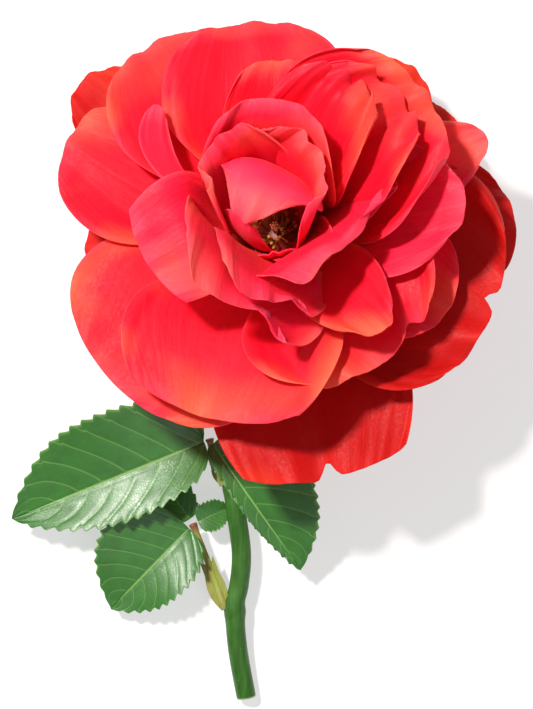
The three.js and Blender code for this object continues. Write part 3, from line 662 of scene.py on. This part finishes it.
STEM_TOP, STEM_CUT, STEM_GAP, STEM_RIDGES = 1.7, 2.3, 0.3, 0.012
UPPER_NODE, LOWER_NODE = 0.54, 0.81
hip_end = on_head(np.array([[0, 0, HIP_END - STEM_GAP]]))[0]
drop = hip_end[2]
stem_offsets = [(0, 0, drop), (0.6, -2.6, drop - 4), (-0.1, -7.2, 2.2), (-2.5, -15.2, 2.2),
                (-6.9, -30.2, 4.2), (-11.7, -48.6, 6.4), (-11.7, -56.2, 6.6), (-10, -69.3, 6),
                (-10.5, -77.3, 5.2), (-11.5, -82.6, 4.7), (-10.9, -92.4, 3.7), (-8.8, -104.4, 2.65)]
stem_knots = np.array(stem_offsets) + [hip_end[0], hip_end[1], 0]
stem_line, stem_share = route_points(stem_knots, 240)
node_swell = sum(np.exp(-((stem_share - n) / 0.016)**2) for n in (UPPER_NODE, LOWER_NODE))
stem_radius = STEM_TOP + (STEM_CUT - STEM_TOP) * ease(stem_share / 0.6) + 0.3 * node_swell
stem_radius[[0, -1]] *= 0.96
stem = tube("stem_green", stem_line, stem_radius, (1, 0, 0), 40, STEM_RIDGES)
print("stem length, mm:", round(float(np.linalg.norm(np.diff(stem_line, axis=0), axis=1).sum()), 1))

# %% [markdown]
# Each compound leaf hangs on a stalk that leaves the stem at a node. The first part of the stalk
# carries the stipule, two thin ears that end in points. The ears are one sheet laid along the
# stalk. It is widest half-way, and its outer edges are drawn forward into the points. Stalk and
# ears grow as one, so they are joined.

# %% Leaf stalks with their stipules
STALK_RADIUS, STALK_INTO_STEM, STIPULE_WALL = 0.85, 0.2, 0.3


def joined(first, second):
    """Two pieces as one object, under the first one's name."""
    pieces.pop(second.name)
    both = [first, second]
    with bpy.context.temp_override(active_object=first, selected_editable_objects=both):
        bpy.ops.object.join()
    return first


def leaf_stalk(name, node, leave, offsets, reach, width, lean):
    """A tube from just inside the stem's side through the offsets, a little thicker at both ends,
    with the ears along its first part. A lean tips the ears about the stalk."""
    root = stem_line[int(round(node * (len(stem_line) - 1)))]
    away = np.array(leave, float) / np.linalg.norm(leave)
    start = root + away * (float(np.interp(node, stem_share, stem_radius)) - STALK_INTO_STEM)
    line, share = route_points([start] + [root + p for p in offsets], 60)
    girth = STALK_RADIUS * (1.3 - 0.4 * ease(share / 0.3) + 0.3 * ease((share - 0.9) / 0.1))
    stalk = tube(f"{name}_stalk", line, girth, (0, 0, 1), 16)
    u, v = grid(13, 31)
    t = v * reach
    place = looked_up(t, share, line)
    ahead = np.gradient(line, axis=0)
    ahead /= np.linalg.norm(ahead, axis=1, keepdims=True)
    ahead = looked_up(t, share, ahead)
    flat = np.cross(ahead, [0, 0, 1.0])
    flat /= np.linalg.norm(flat, axis=-1, keepdims=True)
    lift = np.cross(flat, ahead)
    tilt = np.radians(lean)
    across = flat * np.cos(tilt) + lift * np.sin(tilt)
    half = width / 2 * (0.35 + 0.65 * np.sin(np.pi * np.minimum(v, 0.8))**0.8)
    ear = 2.2 * ease((v - 0.75) / 0.25) * np.abs(u)**1.5
    cupped = 0.35 * u * u * half
    points = (place + across * (u * half)[..., None] + ahead * ear[..., None]
              + np.cross(across, ahead) * cupped[..., None])
    ears = closed_sheet(f"{name}_ears", points, STIPULE_WALL, along=0 * u + 0.4, across=u)
    return joined(stalk, ears), line[-1]


upper_stalk, upper_joint = leaf_stalk("leaf_upper", UPPER_NODE, (-0.9, 0.3, 0.25),
                                      [(-4.3, 6.2, 1.4), (-5.5, 11.5, 2.6)], 0.5, 3.4, 40)
lower_stalk, lower_joint = leaf_stalk("leaf_lower", LOWER_NODE, (-1, 0.35, 0.1),
                                      [(-5.8, 10.5, 0.4), (-9.9, 21, 1.6)], 0.5, 4.6, 15)
print("leaf joints, mm:", upper_joint.round(1), lower_joint.round(1))

# %% [markdown]
# A rose leaflet is a blade too, with a leaf's outline: widest below the middle, drawn out to a
# point, folded a little along the rib. Its edge is a row of teeth that lean towards the tip. The
# skin is quilted: it sinks along the side veins, which leave the rib at a slant and curve forward,
# and bulges between them. Teeth and quilting are real relief in the mesh, added before the sheet is
# closed. The material adds the veins' paler colour and the finest net.

# %% Leaflets
LEAF_WALL, LEAF_TIP, LEAF_START = 0.36, 0.12, 1.35
SIDE_VEINS, VEIN_SLANT = 8.0, 0.26


def leaf_outline(b, u, v):
    """Half-width: v to a power times 1 - v, scaled to 1 where the leaf is widest, all to a power
    that grows towards the tip, plus the root and a blunt tip. Teeth: a saw along the rim that
    grows slowly and drops fast, so each tooth points forward."""
    rise = b["widest"] / (1 - b["widest"])
    peak = b["widest"]**rise * (1 - b["widest"])
    point = 0.62 + 0.3 * ease((v - b["widest"]) / (1 - b["widest"]))
    swell = (np.clip(v, 1e-6, 1)**rise * (1 - v) / peak)**point
    half = b["root"] / 2 * (1 - v) + b["width"] / 2 * swell * (1 + b["lopsided"] * u) + LEAF_TIP
    tooth = (v * b["teeth"]) % 1.0
    saw = np.where(tooth < 0.82, (tooth / 0.82)**1.3, (1 - tooth) / 0.18)
    reach = b["bite"] * saw * ease((np.abs(u) - 0.72) / 0.28) * ease(v / 0.12) * ease((1 - v) / 0.06)
    return u * half + np.sign(u) * reach, v


def leaflet(name, base, heading, length, width, pitch, teeth=16, **more):
    """One leaflet at the joint: the blade, then the quilting between its slanting side veins, each
    of which lies where the number side_vein is whole. Small leaflets are quilted less."""
    b = {**PETAL, "height": 0.0, "root": 2.0, "widest": 0.42, "cup": (10, 6), "fold": 14.0,
         "length": length, "width": width, "pitch": pitch, "lopsided": 0.0, "teeth": teeth,
         "bite": 0.4 + 0.03 * width, **more}
    rows = 8 * teeth + 1
    u = np.sin(np.pi / 2 * np.linspace(-1, 1, 65))[None, :] * np.ones((rows, 1))
    v = np.linspace(0, 1, rows)[:, None] * np.ones((1, 65))
    points, out, _ = blade_surface(b, LEAF_START, u, v, leaf_outline)
    side_vein = (v - VEIN_SLANT * np.abs(u)**1.3) * SIDE_VEINS + 0.2 * np.sign(u)
    gap = np.abs(side_vein % 1.0 - 0.5) * 2
    bulge = 0.20 * (1 - gap**4) * np.abs(u)**0.5 * (1 - np.abs(u)**6)
    rib = -0.35 * np.exp(-(np.abs(u) / 0.035)**2)
    wave = 0.5 * np.abs(u)**2 * np.sin(3.3 * np.pi * v + 1.3 * np.sign(u) + length)
    relief = (bulge + rib) * (width / 26) + wave * (width / 26)
    points = points + out * relief[..., None]
    placed = settle(points @ turn_z(heading).T + base)
    return closed_sheet(name, placed, LEAF_WALL, along=v, across=u, vein=side_vein, rim=np.abs(u))


LEAFLETS = [
    ("leaflet_upper_left", upper_joint, -158, 49, 25, (78, 96, 100, 96),
     dict(height=1.4, fold=16, lopsided=-0.22)),
    ("leaflet_upper_right", upper_joint, -55, 37, 18, (58, 96, 112, 98),
     dict(height=0.6, twist=14, lopsided=0.8)),
    ("leaflet_upper_hidden", upper_joint, 176, 25, 12, (98, 104, 98, 90), dict(height=-0.8)),
    ("leaflet_lower_end", lower_joint, -134, 27, 22.5, (74, 92, 106, 104),
     dict(height=0.9, fold=12, lopsided=-0.25, teeth=13)),
    ("leaflet_lower_left", lower_joint, 125, 19, 8.5, (96, 102, 100, 92), dict(fold=20, teeth=9)),
    ("leaflet_lower_right", lower_joint, 24, 8.6, 6, (92, 112, 114, 100), dict(fold=20, teeth=9)),
]
leaflets = []
for node_name, joint, heading, length, width, pitch, more in LEAFLETS:
    blade = leaflet(f"{node_name}_blade", joint, heading, length, width, pitch, **more)
    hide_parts(node_name)
    leaflets.append(blade)
print("leaflets", len(leaflets))

# %% [markdown]
# Five sepals once wrapped the bud. On the open rose they are bent back below the petals. They are
# narrow blades on the hip's shoulder, plain at the rim and paler on the inner face. A sepal is a
# small changed leaf, so the leaf's outline serves here too, without teeth or side veins.

# %% Sepals
SEPAL = {**PETAL, "height": -5.2, "root": 4.5, "widest": 0.3, "length": 21.0, "width": 7.5,
         "cup": (-30, -10), "lopsided": 0.0, "teeth": 1, "bite": 0.0}
SEPAL_WALL, SEPAL_SEAT, FIRST_SEPAL, SEPAL_STEP = 0.4, 5.8, 20, 72
RIPPLE = 0.25
sepals = []
u, v = grid(21, 41)
for k in range(5):
    b = {**SEPAL, "pitch": (92, 104, 112, 104 + 8 * np.sin(3 * k))}
    points, out, _ = blade_surface(b, SEPAL_SEAT, u, v, leaf_outline)
    relief = RIPPLE * np.sin(5 * v + 2 * k) * np.abs(u) - RIPPLE * np.exp(-(u / 0.1)**2)
    points = points + out * relief[..., None]
    placed = settle(on_head(points, SEPAL_STEP * k + FIRST_SEPAL))
    sepal = closed_sheet(f"sepal_{k + 1}_blade", placed, SEPAL_WALL,
                         along=v, across=u, vein=0 * u + 0.5, rim=np.abs(u))
    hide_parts(f"sepal_{k + 1}")
    sepals.append(sepal)
print("sepals", len(sepals))

# %% [markdown]
# The greens are all waxy. A leaflet's upper face is deep green with pale yellow-green veins and a
# soft gloss, its underside is paler and greyer, and its rim is yellowish. The stem is green with
# faint long streaks and small pale pores, and its cut end shows the pale pith. The same finish in
# other colours serves the leaf stalks, which turn brown-red at the joint, the hip, whose dome is
# dark red like the petals' roots, and the stamens and pistils.

# %% Green finishes
def leaf_material(name, upper, under, vein_colour, gloss):
    """Waxy leaf: two faces, pale ribs, mottled green, a fine net of veins as bump."""
    material, node, plug = new_material(name)
    across, face = stored(node, "across"), stored(node, "face")
    from_vein = sums(node, "PINGPONG", stored(node, "vein"), 0.5)
    where = own_place(node)
    mottle = noise(node, where, 260.0, 4.0)
    net = node("ShaderNodeTexVoronoi", {"Vector": where, "Scale": 1500.0},
               feature="DISTANCE_TO_EDGE").outputs["Distance"]
    colour = mixed(node, face, under, upper)
    colour = mixed(node, ramp(node, mottle, (0.35, 0.0), (0.7, 0.5)), colour,
                   tuple(0.6 * c for c in upper))
    colour = mixed(node, ramp(node, from_vein, (0.0, 0.38), (0.06, 0.0)), colour, vein_colour)
    mid = sums(node, "ABSOLUTE", across, 0.0)
    colour = mixed(node, ramp(node, mid, (0.0, 0.85), (0.035, 0.0)), colour, vein_colour)
    colour = mixed(node, ramp(node, stored(node, "rim"), (0.95, 0.0), (1.0, 0.5)), colour, vein_colour)
    plug("Base Color", colour)
    plug("Roughness", ramp(node, mottle, (0.3, gloss), (0.7, gloss + 0.16)))
    height = sums(node, "ADD", ramp(node, net, (0.0, 0.0), (0.12, 1.0)), mottle)
    plug("Normal", bumped(node, height, 0.12, 0.0003))
    plug("Specular IOR Level", 0.4)
    plug("Coat Weight", 0.1)
    plug("Coat Roughness", 0.25)
    plug("Subsurface Weight", 0.12)
    plug("Subsurface Radius", (0.3, 0.8, 0.1))
    plug("Subsurface Scale", 0.0008)
    return material


def stem_material(name, green, dark, pale, tip, tip_from, tip_to):
    """Waxy stem: long streaks, pores, and another colour towards one end."""
    material, node, plug = new_material(name)
    along = stored(node, "along")
    where = own_place(node)
    long_way = node("ShaderNodeMapping", {"Vector": where, "Scale": (1400.0, 90.0, 1400.0)}).outputs[0]
    streak = noise(node, long_way, 1.0, 3.0)
    cloud = noise(node, where, 160.0, 2.0)
    pores = node("ShaderNodeTexVoronoi", {"Vector": where, "Scale": 420.0}).outputs["Distance"]
    colour = mixed(node, ramp(node, streak, (0.35, 0.0), (0.7, 0.7)), green, dark)
    colour = mixed(node, ramp(node, cloud, (0.45, 0.0), (0.75, 0.4)), colour, pale)
    colour = mixed(node, ramp(node, pores, (0.0, 0.7), (0.12, 0.0)), colour, pale)
    colour = mixed(node, ramp(node, along, (tip_from, 0.0), (tip_to, 1.0)), colour, tip)
    plug("Base Color", colour)
    plug("Roughness", ramp(node, cloud, (0.3, 0.36), (0.7, 0.5)))
    relief = sums(node, "ADD", streak, sums(node, "MULTIPLY", pores, 0.6))
    plug("Normal", bumped(node, relief, 0.3, 0.0003))
    plug("Specular IOR Level", 0.35)
    plug("Subsurface Weight", 0.1)
    plug("Subsurface Radius", (0.3, 0.8, 0.1))
    plug("Subsurface Scale", 0.001)
    return material


leaf_green = leaf_material("leaf_green", (0.036, 0.150, 0.024), (0.12, 0.26, 0.10),
                           (0.22, 0.40, 0.10), 0.34)
sepal_green = leaf_material("sepal_green", (0.20, 0.34, 0.16), (0.10, 0.24, 0.06),
                            (0.30, 0.40, 0.18), 0.5)
stem_green = stem_material("stem_green", (0.030, 0.120, 0.010), (0.012, 0.050, 0.005),
                           (0.07, 0.20, 0.03), (0.55, 0.62, 0.34), 0.998, 0.9995)
stalk_green = stem_material("leaf_stalk_green", (0.24, 0.27, 0.05), (0.22, 0.12, 0.04),
                            (0.32, 0.42, 0.10), (0.18, 0.06, 0.03), 0.86, 0.98)
hip_green = stem_material("hip_green", (0.08, 0.22, 0.03), (0.05, 0.13, 0.02),
                          (0.18, 0.34, 0.09), (0.30, 0.035, 0.015), 0.53, 0.60)
stamen_brown = stem_material("stamen_brown", (0.62, 0.20, 0.05), (0.40, 0.10, 0.03),
                             (0.75, 0.36, 0.10), (0.55, 0.24, 0.04), 0.8, 0.9)
pistil_green = stem_material("pistil_green", (0.50, 0.26, 0.08), (0.34, 0.14, 0.05),
                             (0.62, 0.42, 0.18), (0.50, 0.12, 0.06), 0.8, 0.95)
for piece, finish, node_name, slot_name in (
        (stem, stem_green, "stem", "stem_green"), (hip, hip_green, "hip", "hip_green"),
        (upper_stalk, stalk_green, "leaf_stalk_upper", "leaf_stalk"),
        (lower_stalk, stalk_green, "leaf_stalk_lower", "leaf_stalk"),
        (stamens, stamen_brown, "stamens", "stamen"), (pistils, pistil_green, "pistils", "pistil")):
    piece.data.materials.clear()
    piece.data.materials.append(finish)
    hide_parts(node_name)
for blade in leaflets:
    blade.data.materials.append(leaf_green)
for blade in sepals:
    blade.data.materials.append(sepal_green)
print("finishes", sorted(m.name for m in bpy.data.materials if m.use_nodes and m.users))

# %% [markdown]
# The rose is one body: nothing in it turns or slides. So each piece rides on the root body. The
# table is a wide pale sheet just below the lowest petal, marked as stage. A small key light gives
# the petals clear shadows, a large one and the pale sky soften them, and the camera looks straight
# down from far off, so that the tall bloom isn't drawn much larger than the leaves beside it.

# %% Riding, table, light and camera
TABLE_SIDE, TABLE_GAP = 4, 0.00005
for piece in pieces.values():
    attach(piece, "root")

low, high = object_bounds()
bpy.ops.mesh.primitive_plane_add(size=TABLE_SIDE, location=(0, 0, min(low.z, 0) - TABLE_GAP))
table = bpy.context.object
table.name = "table_top"
cloth, node, plug = new_material("table_pale")
plug("Base Color", (0.5, 0.5, 0.5, 1))
plug("Roughness", 0.9)
plug("Specular IOR Level", 0.1)
plug("Emission Color", (1.0, 1.0, 1.0, 1))
plug("Emission Strength", 0.52)
table.data.materials.append(cloth)
table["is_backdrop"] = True


def soft_light(name, place, aim, size, power, colour):
    """A square area light that looks at a point."""
    light = bpy.data.lights.new(name, "AREA")
    light.size, light.energy, light.color = size, power, colour
    lamp = bpy.data.objects.new(name, light)
    bpy.context.scene.collection.objects.link(lamp)
    lamp.location = place
    away = np.array(place, float) - np.array(aim, float)
    lamp.rotation_euler = (np.arctan2(np.hypot(away[0], away[1]), away[2]), 0,
                           np.arctan2(away[0], -away[1]))


bloom = packed(on_head(np.array([[0, 0, 25.0]])))[0].tolist()
soft_light("key_light", (-0.38, 0.38, 0.84), bloom, 0.10, 15, (1.0, 0.96, 0.90))
soft_light("fill_light", (0.5, -0.6, 0.9), bloom, 1.0, 3, (0.95, 0.97, 1.0))
world = bpy.data.worlds.new("studio")
world.use_nodes = True
sky = world.node_tree.nodes["Background"]
sky.inputs["Color"].default_value = (1.0, 1.0, 1.0, 1)
sky.inputs["Strength"].default_value = 0.30
scene = bpy.context.scene
scene.world = world
scene.view_settings.view_transform = "Standard"

# The camera looks straight down. At its distance from the bloom's middle the frame is 163 mm tall.
VIEW_PLACE = np.array([-2.64, -26.8, 622.0])
SENSOR, FRAME_TALL, DISTANCE = 36.0, 163.0, 600.0
camera = bpy.data.objects.new("camera", bpy.data.cameras.new("camera"))
scene.collection.objects.link(camera)
camera.location = packed(VIEW_PLACE)
camera.rotation_euler = (0, 0, 0)
camera.data.sensor_width = SENSOR
camera.data.lens = SENSOR * DISTANCE / FRAME_TALL
camera.data.clip_start, camera.data.clip_end = 0.05, 10
scene.camera = camera
print("pieces", len(pieces))

# %% [markdown]
# Last, the finished rose's box is printed.

# %% Sizes and finish
low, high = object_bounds()
print("visual box", tuple(low), tuple(high))
